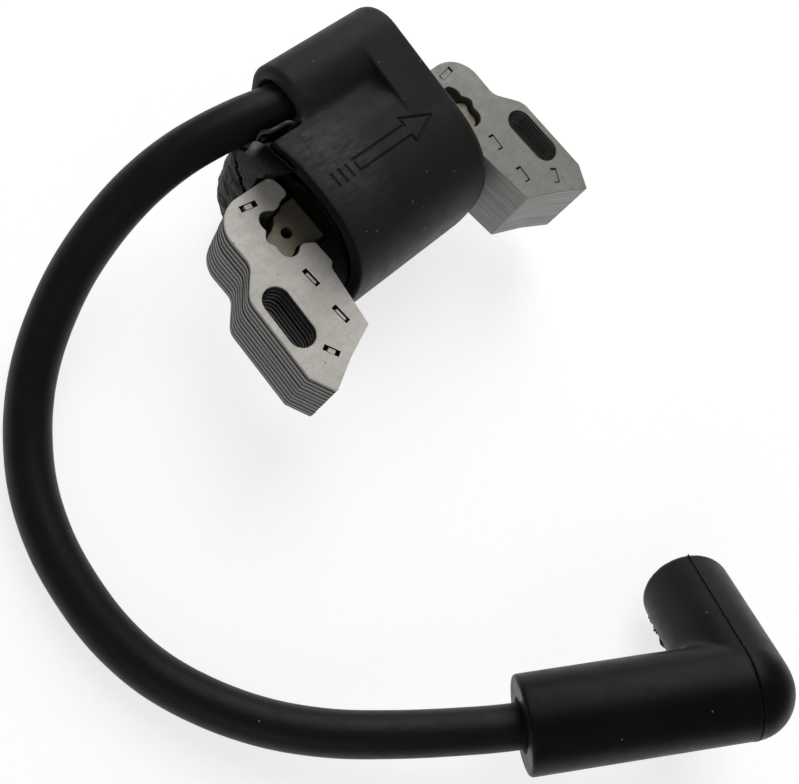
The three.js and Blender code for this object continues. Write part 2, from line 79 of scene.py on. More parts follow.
class Mat:
    """a small builder for procedural materials; coordinates are the piece's own, in metres"""

    def __init__(self, name, base, rough, metallic=0.0, spec=0.5, coat=0.0, coat_rough=0.3, sheen=0.0):
        self.m = bpy.data.materials.new(name)
        self.m.use_nodes = True
        self.t = self.m.node_tree
        self.b = self.t.nodes["Principled BSDF"]
        self.b.inputs["Base Color"].default_value = (*base, 1)
        self.b.inputs["Roughness"].default_value = rough
        self.b.inputs["Metallic"].default_value = metallic
        self.b.inputs["Specular IOR Level"].default_value = spec
        self.b.inputs["Coat Weight"].default_value = coat
        self.b.inputs["Coat Roughness"].default_value = coat_rough
        self.b.inputs["Sheen Weight"].default_value = sheen
        self.co = self.t.nodes.new("ShaderNodeTexCoord").outputs["Object"]
        self.m.diffuse_color = (*base, 1)

    def node(self, kind, **kw):
        n = self.t.nodes.new(kind)
        for k, v in kw.items():
            setattr(n, k, v)
        return n

    def link(self, a, b):
        self.t.links.new(a, b)

    def mapping(self, scale=(1, 1, 1), rot=(0, 0, 0), loc=(0, 0, 0)):
        n = self.node("ShaderNodeMapping")
        n.inputs["Scale"].default_value = scale
        n.inputs["Rotation"].default_value = rot
        n.inputs["Location"].default_value = loc
        self.link(self.co, n.inputs["Vector"])
        return n.outputs["Vector"]

    def noise(self, scale, detail=4, rough=0.55, vec=None, dist=0.0):
        n = self.node("ShaderNodeTexNoise")
        n.inputs["Scale"].default_value = scale
        n.inputs["Detail"].default_value = detail
        n.inputs["Roughness"].default_value = rough
        n.inputs["Distortion"].default_value = dist
        self.link(vec if vec is not None else self.co, n.inputs["Vector"])
        return n.outputs["Fac"]

    def ramp(self, fac, stops):
        n = self.node("ShaderNodeValToRGB")
        e = n.color_ramp.elements
        while len(e) > 1:
            e.remove(e[-1])
        for i, (p, c) in enumerate(stops):
            x = e[0] if i == 0 else e.new(p)
            x.position = p
            x.color = (*c, 1) if hasattr(c, "__len__") else (c, c, c, 1)
        self.link(fac, n.inputs["Fac"])
        return n.outputs["Color"]

    def math(self, op, a, b=None, clamp=False):
        n = self.node("ShaderNodeMath", operation=op, use_clamp=clamp)
        for i, v in enumerate((a, b)):
            if v is None:
                continue
            if isinstance(v, (int, float)):
                n.inputs[i].default_value = v
            else:
                self.link(v, n.inputs[i])
        return n.outputs[0]

    def mix(self, fac, a, b):
        n = self.node("ShaderNodeMix", data_type="RGBA")
        for s, v in ((0, fac), (6, a), (7, b)):
            if isinstance(v, (int, float)):
                n.inputs[s].default_value = v
            elif isinstance(v, tuple):
                n.inputs[s].default_value = (*v, 1)
            else:
                self.link(v, n.inputs[s])
        return n.outputs[2]

    def specks(self, scale, size, share, seed=0.0):
        """sparse round specks: 1 inside a speck"""
        v = self.node("ShaderNodeTexVoronoi")
        v.inputs["Scale"].default_value = scale
        self.link(self.mapping(loc=(seed, seed * 0.7, -seed)), v.inputs["Vector"])
        near = self.math("LESS_THAN", v.outputs["Distance"], size)
        sep = self.node("ShaderNodeSeparateColor")
        self.link(v.outputs["Color"], sep.inputs[0])
        keep = self.math("LESS_THAN", sep.outputs[0], share)
        return self.math("MULTIPLY", near, keep)

    def near_point(self, p, r, soft, scale=(1, 1, 1)):
        """1 near a point given in the row frame, fading out with distance"""
        n = self.node("ShaderNodeVectorMath", operation="SUBTRACT")
        self.link(self.co, n.inputs[0])
        n.inputs[1].default_value = tuple(p)
        k = self.node("ShaderNodeVectorMath", operation="MULTIPLY")
        self.link(n.outputs[0], k.inputs[0])
        k.inputs[1].default_value = scale
        ln = self.node("ShaderNodeVectorMath", operation="LENGTH")
        self.link(k.outputs[0], ln.inputs[0])
        m = self.node("ShaderNodeMapRange", interpolation_type="SMOOTHSTEP")
        self.link(ln.outputs["Value"], m.inputs["Value"])
        m.inputs["From Min"].default_value = r + soft
        m.inputs["From Max"].default_value = r
        return m.outputs["Result"]

    def color(self, c):
        self.link(c, self.b.inputs["Base Color"])
        return self

    def rough(self, fac, lo, hi):
        m = self.node("ShaderNodeMapRange")
        self.link(fac, m.inputs["Value"])
        m.inputs["From Min"].default_value, m.inputs["From Max"].default_value = 0.3, 0.7
        m.inputs["To Min"].default_value, m.inputs["To Max"].default_value = lo, hi
        self.link(m.outputs["Result"], self.b.inputs["Roughness"])
        return self

    def bump(self, *layers):
        """layers of (height, distance in metres, strength)"""
        prev = None
        for h, d, s in layers:
            n = self.node("ShaderNodeBump")
            n.inputs["Distance"].default_value = d
            n.inputs["Strength"].default_value = s
            self.link(h, n.inputs["Height"])
            if prev is not None:
                self.link(prev, n.inputs["Normal"])
            prev = n.outputs["Normal"]
        self.link(prev, self.b.inputs["Normal"])
        return self


def housing_material():
    m = Mat("housing_satin_plastic", (0.020, 0.0225, 0.0205), 0.44, spec=0.08)
    big, mid, fine = m.noise(110, 4), m.noise(520, 5, 0.6), m.noise(2600, 3, 0.6)
    c = m.ramp(big, [(0.25, (0.0178, 0.0206, 0.0186)), (0.75, (0.0262, 0.0297, 0.0269))])
    haze = m.near_point(W((-9.8, 4.2, 23.4)), 0.0005, 0.0075, (0.9, 0.55, 0.5))
    streak = m.noise(900, 5, 0.7, m.mapping((0.45, 1.6, 1), (0, 0, 0.95)))
    haze = m.math("MULTIPLY", haze, m.math("SUBTRACT", streak, 0.33, clamp=True))
    c = m.mix(m.math("MULTIPLY", haze, 1.1, clamp=True), c, (0.16, 0.17, 0.16))
    c = m.mix(m.math("MULTIPLY", m.specks(620, 0.11, 0.08), 0.45), c, (0.24, 0.25, 0.23))
    c = m.mix(m.math("MULTIPLY", m.specks(1100, 0.11, 0.04, 0.013), 0.55), c, (0.34, 0.35, 0.33))
    m.color(c)
    m.rough(mid, 0.40, 0.53)
    return m.bump((fine, 0.00004, 0.35), (mid, 0.00010, 0.22), (big, 0.0006, 0.12)).m


def rubber_material(name, base, dark, rough, speck=0.5, spec=0.4, swirl=True):
    m = Mat(name, base, rough, spec=spec)
    big, mid, fine = m.noise(75, 4, 0.6), m.noise(420, 5, 0.62), m.noise(2400, 3, 0.6)
    c = m.ramp(big, [(0.3, dark), (0.72, base)])
    dust = m.noise(260, 6, 0.72, dist=0.4)
    c = m.mix(m.math("MULTIPLY", m.ramp(dust, [(0.56, 0.0), (0.8, 1.0)]), 0.22), c, tuple(x * 2.1 + 0.006 for x in base))
    c = m.mix(m.math("MULTIPLY", m.specks(330, 0.09, 0.10 * speck, 0.02), 0.5), c, (0.22, 0.22, 0.21))
    c = m.mix(m.math("MULTIPLY", m.specks(760, 0.11, 0.05 * speck), 0.6), c, (0.30, 0.30, 0.28))
    m.color(c)
    m.rough(mid, rough - 0.06, rough + 0.07)
    return m.bump((fine, 0.00004, 0.4), (mid, 0.00012, 0.25), (big, 0.0008, 0.15)).m


def steel_face_material(name, light, dark, metallic=0.55, rough=0.5):
    m = Mat(name, light, rough, metallic=metallic, spec=0.5)
    big, mid, fine = m.noise(130, 5, 0.65), m.noise(800, 5, 0.7), m.noise(4200, 3, 0.7)
    c = m.ramp(big, [(0.28, dark), (0.7, light)])
    c = m.mix(m.math("MULTIPLY", m.ramp(mid, [(0.46, 0.0), (0.72, 1.0)]), 0.6), c, tuple(x * 0.74 for x in light))
    c = m.mix(m.math("MULTIPLY", m.ramp(m.noise(2300, 3, 0.7), [(0.5, 0.0), (0.72, 1.0)]), 0.5), c, tuple(x * 0.66 for x in light))
    grain = m.noise(900, 4, 0.6, m.mapping((0.16, 2.2, 1)))
    c = m.mix(m.math("MULTIPLY", m.ramp(grain, [(0.42, 0.0), (0.75, 1.0)]), 0.22), c, tuple(min(1, x * 1.12) for x in light))
    c = m.mix(m.math("MULTIPLY", m.specks(900, 0.16, 0.06), 0.55), c, tuple(x * 0.35 for x in dark))
    m.color(c)
    m.rough(mid, rough - 0.08, rough + 0.12)
    return m.bump((fine, 0.00003, 0.4), (grain, 0.00005, 0.25), (mid, 0.00006, 0.2)).m


def edge_material(name, light, dark, metallic=0.5, rough=0.5):
    """cut edges of stacked sheets: broken shear bands, each sheet a little different"""
    m = Mat(name, light, rough, metallic=metallic, spec=0.5)
    layer = m.noise(1.0, 1, 0.5, m.mapping((60, 60, 1513)))
    shear = m.noise(1.0, 2, 0.5, m.mapping((110, 110, 2600)))
    fine = m.noise(3800, 3, 0.6)
    c = m.ramp(layer, [(0.25, dark), (0.72, light)])
    c = m.mix(m.math("MULTIPLY", m.ramp(shear, [(0.45, 0.0), (0.8, 1.0)]), 0.28), c, tuple(x * 0.5 for x in dark))
    m.color(c)
    m.rough(shear, rough - 0.08, rough + 0.12)
    return m.bump((shear, 0.00006, 0.4), (fine, 0.00003, 0.3)).m


def plain_material(name, base, rough, metallic=0.0, spec=0.5, scale=400, vary=0.25, bump=0.00008, brushed=None):
    m = Mat(name, base, rough, metallic=metallic, spec=spec)
    a, b = m.noise(scale, 4, 0.6), m.noise(scale * 5, 3, 0.6, None if brushed is None else m.mapping(brushed))
    m.color(m.ramp(a, [(0.3, tuple(x * (1 - vary) for x in base)), (0.7, tuple(min(1, x * (1 + vary * 0.6)) for x in base))]))
    m.rough(b, rough - 0.06, rough + 0.08)
    return m.bump((b, bump * 0.5, 0.35), (a, bump, 0.25)).m


def winding_material():
    m = Mat("enamelled_copper", (0.50, 0.20, 0.075), 0.32, metallic=0.9)
    w = m.node("ShaderNodeTexWave", wave_type="BANDS", bands_direction="X")
    w.inputs["Scale"].default_value = 1600
    w.inputs["Distortion"].default_value = 0.3
    m.link(m.co, w.inputs["Vector"])
    n = m.noise(300, 4)
    m.color(m.mix(m.math("MULTIPLY", w.outputs["Fac"], 0.6), m.ramp(n, [(0.3, (0.30, 0.11, 0.04)), (0.7, (0.52, 0.21, 0.08))]), (0.62, 0.28, 0.11)))
    m.rough(n, 0.26, 0.4)
    return m.bump((w.outputs["Fac"], 0.00012, 0.7)).m


# ---------------------------------------------------------------- mesh helpers (mm, core frame)


def new_object(name, verts, faces):
    me = bpy.data.meshes.new(name)
    me.from_pydata([tuple(v) for v in verts], [], faces)
    bm = bmesh.new()
    bm.from_mesh(me)
    bmesh.ops.recalc_face_normals(bm, faces=bm.faces)
    bm.to_mesh(me)
    bm.free()
    o = bpy.data.objects.new(name, me)
    COL.objects.link(o)
    return o


def loft(name, rings, closed=False):
    n = len(rings[0])
    verts = [p for r in rings for p in r]
    faces = []
    for k in range(len(rings) - 1 + (1 if closed else 0)):
        a0, b0 = k * n, ((k + 1) % len(rings)) * n
        for i in range(n):
            j = (i + 1) % n
            faces.append((a0 + i, a0 + j, b0 + j, b0 + i))
    if not closed:
        faces.append(tuple(range(n)))
        faces.append(tuple((len(rings) - 1) * n + i for i in range(n)))
    return new_object(name, verts, faces)


def basis(d):
    d = Vector(d).normalized()
    u = d.orthogonal().normalized()
    return d, u, d.cross(u)


def lathe(name, origin, direction, profile, n=96):
    """closed solid of revolution: profile of (along, radius) that starts and ends on the axis, or a closed ring"""
    o = Vector(origin)
    d, u, w = basis(direction)
    on_axis = profile[0][1] == 0
    ring = [(t, r) for t, r in profile if r > 0]
    verts = [o + d * t + (u * math.cos(2 * math.pi * i / n) + w * math.sin(2 * math.pi * i / n)) * r for t, r in ring for i in range(n)]
    faces = []
    for k in range(len(ring) - (1 if on_axis else 0)):
        a0, b0 = k * n, ((k + 1) % len(ring)) * n
        faces += [(a0 + i, a0 + (i + 1) % n, b0 + (i + 1) % n, b0 + i) for i in range(n)]
    if on_axis:
        faces.append(tuple(range(n)))
        faces.append(tuple((len(ring) - 1) * n + i for i in range(n)))
    return new_object(name, verts, faces)


def rod(name, a, b, r, n=64):
    a, b = Vector(a), Vector(b)
    return lathe(name, a, b - a, [(0, 0), (0, r), ((b - a).length, r), ((b - a).length, 0)], n)


def prism_x(name, pts, x0, x1):
    return loft(name, [[(x0, y, z) for y, z in pts], [(x1, y, z) for y, z in pts]])


def rounded(cx, cy, hx, hy, r, n=8):
    out = []
    for sx, sy, a0 in ((1, 1, 0), (-1, 1, 90), (-1, -1, 180), (1, -1, 270)):
        for i in range(n + 1):
            a = math.radians(a0 + 90 * i / n)
            out.append((cx + sx * (hx - r) + r * math.cos(a), cy + sy * (hy - r) + r * math.sin(a)))
    return out


def circle(cx, cy, r, n=96):
    return [(cx + r * math.cos(2 * math.pi * i / n), cy + r * math.sin(2 * math.pi * i / n)) for i in range(n)]


def baked(o):
    """applies o's modifiers"""
    bpy.context.view_layer.update()
    me = bpy.data.meshes.new_from_object(o.evaluated_get(bpy.context.evaluated_depsgraph_get()))
    o.modifiers.clear()
    o.data = me
    return o


def boolean(a, others, op):
    for b in others:
        m = a.modifiers.new("b", "BOOLEAN")
        m.operation, m.object, m.solver = op, b, "EXACT"
        m.use_self = False
    baked(a)
    for b in others:
        bpy.data.objects.remove(b)
    return a


def remesh(o, voxel, smooth=6, factor=0.5):
    m = o.modifiers.new("r", "REMESH")
    m.mode, m.voxel_size, m.adaptivity, m.use_smooth_shade = "VOXEL", voxel, 0.0, True
    baked(o)
    if smooth:
        m = o.modifiers.new("s", "SMOOTH")
        m.factor, m.iterations = factor, smooth
        baked(o)
    return o


def place(o, body, material=None, replaces=(), smooth=True, angle=None):
    """puts a piece made in core-frame millimetres into the row frame, and dresses it"""
    o.data.transform(Matrix.Scale(0.001, 4) @ Matrix.Translation(OFF))
    o.data.polygons.foreach_set("use_smooth", [smooth] * len(o.data.polygons))
    if angle is not None:
        o.data.set_sharp_from_angle(angle=math.radians(angle))
    if material is not None:
        o.data.materials.clear()
        for x in material if isinstance(material, (list, tuple)) else [material]:
            o.data.materials.append(x)
    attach(o, body)
    if replaces:
        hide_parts(*replaces)
    return o


def tube(name, pts, radius, sides=20, caps=True, rad=None):
    """closed round tube through points (mm); rad gives a radius at each point"""
    P = [Vector(p) for p in pts]
    rings, prev = [], None
    for i, p in enumerate(P):
        t = (P[min(i + 1, len(P) - 1)] - P[max(i - 1, 0)]).normalized()
        u = t.orthogonal().normalized() if prev is None else (prev - t * prev.dot(t)).normalized()
        prev = u
        w = t.cross(u)
        r = radius if rad is None else rad[i]
        rings.append([p + (u * math.cos(2 * math.pi * k / sides) + w * math.sin(2 * math.pi * k / sides)) * r for k in range(sides)])
    return loft(name, rings)


def catmull(points, closed=False):
    """centripetal Catmull-Rom through the points as cubic pieces (p, handle, handle, q)"""
    P = [Vector(p) for p in points]
    first, last = P[0] * 2 - P[1], P[-1] * 2 - P[-2]
    Q = [first] + P + [last]
    out = []
    for i in range(1, len(Q) - 2):
        a, b, c, d = Q[i - 1], Q[i], Q[i + 1], Q[i + 2]
        d0, d1, d2 = (max((y - x).length ** 0.5, 1e-6) for x, y in ((a, b), (b, c), (c, d)))
        t1 = ((b - a) / d0 - (c - a) / (d0 + d1) + (c - b) / d1) * d1
        t2 = ((c - b) / d1 - (d - b) / (d1 + d2) + (d - c) / d2) * d1
        out.append((b, b + t1 / 3, c - t2 / 3, c))
    return out


def sample(points, per=8):
    out = []
    for a, b, c, d in catmull(points):
        for k in range(per):
            t = k / per
            out.append(a * (1 - t) ** 3 + b * 3 * t * (1 - t) ** 2 + c * 3 * t * t * (1 - t) + d * t ** 3)
    out.append(Vector(points[-1]))
    return out


# ---------------------------------------------------------------- high-tension lead
M_LEAD = rubber_material("lead_rubber", (0.0108, 0.0117, 0.0101), (0.0080, 0.0088, 0.0076), 0.43, 0.35, 0.15)
LEAD = [
    (-3.3, 16.0, 18.25), (-9, 16.1, 18.25), (-15.4, 17.2, 17.75), (-20.4, 18.0, 16.8), (-25.8, 18.6, 15.2), (-31.7, 18.6, 12.85), (-37.3, 17.9, 10.2),
    (-42.4, 16.7, 7.45), (-47.2, 15.0, 4.9), (-51.8, 12.7, 2.4), (-56.6, 9.6, 0.0), (-61.0, 5.8, -1.95), (-65.2, 0.9, -3.3), (-69.4, -5.8, -3.97),
    (-72.4, -13.6, -4.0), (-73.9, -21.6, -4.0), (-74.25, -29.8, -4.0), (-73.1, -37.9, -3.8), (-70.2, -46.1, -2.95), (-65.9, -54.0, -1.75),
    (-60.2, -61.3, -0.25), (-53.1, -68.2, 1.45), (-45.3, -74.9, 3.0), ELBOW + eA * 37.2, ELBOW + eA * 29, ELBOW + eA * 22,
]
cu = bpy.data.curves.new("high_tension_lead_rubber", "CURVE")
cu.dimensions, cu.bevel_depth, cu.bevel_resolution, cu.resolution_u = "3D", LEAD_D / 2000, 8, 10
cu.use_fill_caps = True
sp = cu.splines.new("BEZIER")
sp.bezier_points.add(len(LEAD) - 1)
segs = catmull(LEAD)
for i, bp in enumerate(sp.bezier_points):
    bp.handle_left_type = bp.handle_right_type = "FREE"
    bp.co = W(LEAD[i])
    bp.handle_right = W(segs[i][1]) if i < len(segs) else W(LEAD[i]) + (W(LEAD[i]) - W(segs[-1][2]))
    bp.handle_left = W(segs[i - 1][2]) if i > 0 else W(LEAD[i]) * 2 - W(segs[0][1])
cu.materials.append(M_LEAD)
lead = bpy.data.objects.new("high_tension_lead_rubber", cu)
COL.objects.link(lead)
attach(lead, "coil")
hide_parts("high_tension_lead")

# ---------------------------------------------------------------- laminated packs
NOTCH = [
    (17.05, -4.1), (17.3, -3.6), (17.8, -3.35), (18.35, -3.0), (19.0, -2.82), (19.6, -2.95), (20.2, -3.35), (20.9, -3.6), (21.7, -3.5),
    (22.35, -3.05), (22.75, -2.35), (22.8, -1.5), (22.75, -0.8), (23.05, -0.2), (23.3, 0.35), (23.15, 1.0), (22.7, 1.55), (22.3, 2.05),
    (22.4, 2.7), (22.3, 3.4), (21.95, 4.05), (21.4, 4.5), (20.7, 4.62), (20.0, 4.4), (19.3, 3.98), (18.7, 3.85), (18.1, 3.95), (17.5, 4.3),
    (16.8, 4.6), (16.1, 4.65), (15.55, 4.95), (15.35, 5.6), (15.4, 6.5), (15.55, 7.35), (15.95, 8.1), (16.6, 8.55), (17.5, 8.6),
]
BAR_END = [
    (15.0, -3.35), (17.4, -3.2), (18.0, -2.95), (18.5, -2.62), (19.05, -2.45), (19.75, -2.6), (20.35, -3.0), (20.95, -3.25), (21.6, -3.15),
    (22.1, -2.8), (22.4, -2.25), (22.45, -1.5), (22.4, -0.65), (22.75, 0.0), (22.92, 0.4), (22.8, 0.85), (22.4, 1.3), (21.7, 1.6), (20.8, 1.95),
    (19.9, 2.6), (19.2, 3.35), (18.5, 3.5), (17.8, 3.65), (17.0, 4.1), (15.0, 4.25),
]


def smooth_line(pts, per=3):
    """open run of 2-D points made smooth by a centripetal curve through them"""
    return [(v.x, v.y) for v in sample([(x, y, 0) for x, y in pts], per)]


def filleted(corners, seg=14):
    out, n = [], len(corners)
    for i, (x, y, r) in enumerate(corners):
        if not r:
            out.append((x, y))
            continue
        p, q = corners[i - 1], corners[(i + 1) % n]
        c = Vector((x, y))
        a, b = (Vector(p[:2]) - c).normalized(), (Vector(q[:2]) - c).normalized()
        half = math.acos(max(-1, min(1, a.dot(b)))) / 2
        t = r / math.tan(half)
        s, e = c + a * t, c + b * t
        m = c + (a + b).normalized() * (r / math.sin(half))
        a0, a1 = math.atan2(s.y - m.y, s.x - m.x), math.atan2(e.y - m.y, e.x - m.x)
        d = (a1 - a0 + math.pi) % (2 * math.pi) - math.pi
        k = max(2, round(seg * abs(d) / (math.pi / 2)))
        out += [(m.x + r * math.cos(a0 + d * j / k), m.y + r * math.sin(a0 + d * j / k)) for j in range(k + 1)]
    return out


LEG = filleted([(27.9, 8.6, 5.2), (27.9, -0.9, 2.6), (31.75, -4.95, 3.2), (32.4, -19.4, 0.4), (30.3, -23.6, 0.3), (24.9, -20.85, 0), (19.1, -18.6, 0.3), (17.75, -8.4, 0.5), (16.95, -7.6, 0.5)] + [(x, y, 0) for x, y in smooth_line(NOTCH, 3)])
SLOT = []
for i in range(25):
    a = math.pi * i / 24
    SLOT.append((SLOT_X - SLOT_LEAN + SLOT_R * math.cos(a), SLOT_Y0 + SLOT_R * math.sin(a)))
for i in range(25):
    a = math.pi + math.pi * i / 24
    SLOT.append((SLOT_X + SLOT_LEAN + SLOT_R * math.cos(a), SLOT_Y1 + SLOT_R * math.sin(a)))
MARKS = [((22.0, 6.55), 10, 1.45, 0.52), ((21.6, -7.7), 86, 1.6, 0.46), ((21.7, -14.8), 86, 1.6, 0.46), ((26.8, -18.3), 62, 1.35, 0.5)]
MARKS_R = [((22.9, 6.6), 10, 1.5, 0.55), ((21.6, -7.7), 86, 1.5, 0.55), ((21.7, -14.8), 86, 1.5, 0.55), ((26.8, -18.3), 62, 1.4, 0.55)]


def outward(loop):
    """unit outward normals of a counter-clockwise loop"""
    n, out = len(loop), []
    area = sum(loop[i][0] * loop[(i + 1) % n][1] - loop[(i + 1) % n][0] * loop[i][1] for i in range(n))
    s = 1 if area > 0 else -1
    for i in range(n):
        p, q = Vector(loop[i - 1]), Vector(loop[(i + 1) % n])
        d = q - p
        out.append((s * d.y / (d.length + 1e-9), -s * d.x / (d.length + 1e-9)))
    return out


def pack(name, loop, holes, z0, z1, sheets, sx, marks=(), tab_depth=0.5, seed=1, body="coil", mats=(), replaces=(), groove=0.12, paired=False):
    """stack of stamped sheets; grooves part the sheets, lanced tabs hold them"""
    rnd = random.Random(seed)
    loops = [[(sx * x, y) for x, y in loop]] + [[(sx * x, y) for x, y in h] for h in holes]
    dirs = [outward(loops[0])] + [[(-a, -b) for a, b in outward(h)] for h in loops[1:]]
    pitch = (z1 - z0) / sheets
    levels = []  # (z, inset, dx, dy)
    for k in range(sheets):
        a, b = z0 + k * pitch, z0 + (k + 1) * pitch
        jx, jy = rnd.gauss(0, 0.014), rnd.gauss(0, 0.014)
        ins = abs(rnd.gauss(0, 0.012)) + (0.07 if paired and k % 2 == 0 else 0)
        lip = 0.06 if paired else 0.12
        g = groove * (0.85 + 0.3 * rnd.random())
        if k == 0:
            levels.append((a, 0.07, 0, 0)), levels.append((a + 0.06, ins, jx, jy))
        else:
            levels.append((a + lip, ins, jx, jy))
        levels.append((b - (0.11 if k == sheets - 1 else lip), ins, jx, jy))
        levels.append((b, 0.10 if k == sheets - 1 else g, 0 if k == sheets - 1 else jx, 0 if k == sheets - 1 else jy))
    verts, faces, tops, bots, dark = [], [], [], [], []  # dark: material of each wall face
    for which, (L, D) in enumerate(zip(loops, dirs)):
        n, base = len(L), len(verts)
        for z, ins, dx, dy in levels:
            verts += [(p[0] - d[0] * ins + dx, p[1] - d[1] * ins + dy, z) for p, d in zip(L, D)]
        for k in range(len(levels) - 1):
            gap = 0 < k < len(levels) - 2 and k % 3 != 1
            rim = k == len(levels) - 2 and sheets > 20
            for i in range(n):
                j = (i + 1) % n
                faces.append((base + k * n + i, base + k * n + j, base + (k + 1) * n + j, base + (k + 1) * n + i))
                # the recessed sheets of a paired stack take the darker edge material: painted shade in their recess
                shaded_sheet = paired and k % 3 == 1 and (k - 1) // 3 % 2 == 0
                dark.append(0 if rim else (2 if gap or (shaded_sheet and which) else (4 if shaded_sheet else (3 if which else 1))))
        bots.append([base + i for i in range(n)])
        tops.append([base + (len(levels) - 1) * n + i for i in range(n)])
    me = bpy.data.meshes.new(name)
    me.from_pydata(verts, [], faces)
    bm = bmesh.new()
    bm.from_mesh(me)
    vlist = list(bm.verts)
    wall = set(bm.faces)
    kinds = dict(zip(list(bm.faces), dark))
    caps = []
    for z, rings, up in ((z1, tops, 1), (z0, bots, -1)):
        edges = []
        for ring in rings:
            vs = [vlist[i] for i in ring]
            edges += [bm.edges.get((vs[i], vs[(i + 1) % len(vs)])) for i in range(len(vs))]
        depth = tab_depth if up > 0 else tab_depth * 0.8
        for (mx, my), ang, L2, W2 in marks:
            u = Vector((math.cos(math.radians(ang)) * sx, math.sin(math.radians(ang))))
            w = Vector((-u.y, u.x))
            c = Vector((sx * mx, my))
            quad = [c + u * a * L2 + w * b * W2 for a, b in ((-1, -1), (1, -1), (1, 1), (-1, 1))]
            rim_v = [bm.verts.new((q.x, q.y, z)) for q in quad]
            low_v = [bm.verts.new((q.x, q.y, z - up * 1.3)) for q in quad]
            edges += [bm.edges.new((rim_v[i], rim_v[(i + 1) % 4])) for i in range(4)]
            for i in range(4):
                j = (i + 1) % 4
                wall.add(bm.faces.new((rim_v[i], rim_v[j], low_v[j], low_v[i])))
            wall.add(bm.faces.new(low_v))
            # the tab: a strip pushed down between its two short ends
            if tab_depth > 0.3:
                q = 0.66 if W2 < 0.5 else 0.44
                prof, hw = [(-q - 0.10, depth + 0.6), (-q - 0.06, depth * 0.5), (-q, depth * 0.3), (q * 0.8, depth * 0.3), (q * 0.95, depth * 0.6), (q + 0.04, depth + 0.6)], W2 * (0.46 if W2 < 0.5 else 0.72)
            else:
                prof, hw = [(-0.84, depth + 0.3), (-0.80, depth), (0.74, depth), (0.80, depth + 0.3)], W2 * 0.84
            prof = [(t * L2, dz) for t, dz in prof]
            rows = []
            for t, dz in prof:
                p = c + u * t
                zz = z - up * (dz + 0.012)
                rows.append([bm.verts.new((*(p + w * s * hw), zz - up * th)) for s, th in ((-1, 0), (1, 0), (1, 0.55), (-1, 0.55))])
            for r0, r1 in zip(rows, rows[1:]):
                for i in range(4):
                    j = (i + 1) % 4
                    f = bm.faces.new((r0[i], r0[j], r1[j], r1[i]))
                    if i == 0:
                        caps.append(f)
                    else:
                        wall.add(f)
            wall.add(bm.faces.new(rows[0])), wall.add(bm.faces.new(rows[-1]))
        g = bmesh.ops.triangle_fill(bm, use_beauty=True, use_dissolve=False, edges=edges, normal=(0, 0, up))
        caps += [f for f in g["geom"] if isinstance(f, bmesh.types.BMFace)]
    for f in caps:
        f.material_index = 0
    for f in wall:
        if f.is_valid:
            f.material_index = kinds.get(f, 2)
    bmesh.ops.recalc_face_normals(bm, faces=bm.faces)
    bm.to_mesh(me)
    bm.free()
    o = bpy.data.objects.new(name, me)
    COL.objects.link(o)
    idx = [p.material_index for p in me.polygons]
    place(o, body, list(mats), replaces, smooth=True, angle=28)
    o.data.polygons.foreach_set("material_index", idx)
    return o


# The two legs are the same stamped steel. The left leg's face is painted lighter and the right leg's face darker, and
# the right leg's edges lighter than the left's: painted light and shade for how the lamps fall on each leg.
M_FACE_L = steel_face_material("stamped_steel_face", (0.86, 0.82, 0.765), (0.66, 0.625, 0.57), 0.2, 0.56)
M_EDGE_L = edge_material("stamped_steel_edges", (0.225, 0.222, 0.209), (0.17, 0.168, 0.158), 0.35, 0.5)
M_FACE_R = steel_face_material("steel_face_right_painted_shade", (0.305, 0.299, 0.272), (0.238, 0.232, 0.21), 0.4, 0.5)
M_EDGE_R = edge_material("steel_edges_right_painted_light", (0.275, 0.272, 0.26), (0.215, 0.212, 0.203), 0.4, 0.46)
M_SEAM = edge_material("sheet_gap", (0.020, 0.0195, 0.018), (0.010, 0.0098, 0.009), 0.0, 0.8)
M_SEAM_R = edge_material("sheet_gap_grey", (0.235, 0.232, 0.222), (0.185, 0.182, 0.174), 0.4, 0.5)
# darker copy of the edge finish for the recessed sheets of the left leg: painted shade in the recesses between the
# proud sheets
M_EDGE_SHADE = edge_material("stamped_steel_edges_painted_shade", (0.135, 0.133, 0.125), (0.098, 0.096, 0.090), 0.3, 0.6)
# the slot's steel walls are painted near black: painted shade inside the slot
M_HOLE = edge_material("slot_walls_painted_shade", (0.038, 0.034, 0.028), (0.014, 0.0125, 0.0105), 0.1, 0.55)
M_BAR = steel_face_material("core_bar_face", (0.29, 0.262, 0.19), (0.18, 0.162, 0.118), 0.5, 0.42)
M_BAR_E = edge_material("core_bar_edges", (0.20, 0.19, 0.17), (0.08, 0.075, 0.065), 0.5, 0.5)

pack("leg_left_sheets", LEG, [SLOT], 0, STACK, 22, -1, MARKS, 0.55, 3, "coil", (M_FACE_L, M_EDGE_L, M_SEAM, M_HOLE, M_EDGE_SHADE), ("leg_left_laminations",), groove=0.11, paired=True)
pack("leg_right_sheets", LEG, [SLOT], 0, STACK, 22, 1, MARKS_R, 0.14, 4, "coil", (M_FACE_R, M_EDGE_R, M_SEAM_R, M_HOLE), ("leg_right_laminations",), groove=0.03)
bar_line = smooth_line(BAR_END, 2)
pack("core_bar_sheets", bar_line + [(-x, y) for x, y in reversed(bar_line)], [circle(19.3, 0.2, 0.85, 36), circle(-19.3, 0.2, 0.85, 36)], BAR_BOTTOM, BAR_TOP, 18, 1, (), 0, 5, "coil", (M_BAR, M_BAR_E, M_SEAM, M_SEAM), ("core_bar",), groove=0.08)

# ---------------------------------------------------------------- housing


def section(inset, n=220):
    out = []
    for i in range(n):
        t = 2 * math.pi * i / n
        c, u = math.cos(t), math.sin(t)
        low = u < 0
        e, b = 2 / (BACK_N if low else BODY_N), BACK_B if low else BODY_B
        y = BODY_Y + (BODY_A - inset) * math.copysign(abs(c) ** e, c)
        z = BODY_Z + (b - inset) * math.copysign(abs(u) ** e, u)
        out.append((y, max(z, BACK_Z + inset)))
    return out


def body_ring(x, inset):
    return [(x, y, z) for y, z in section(inset)]


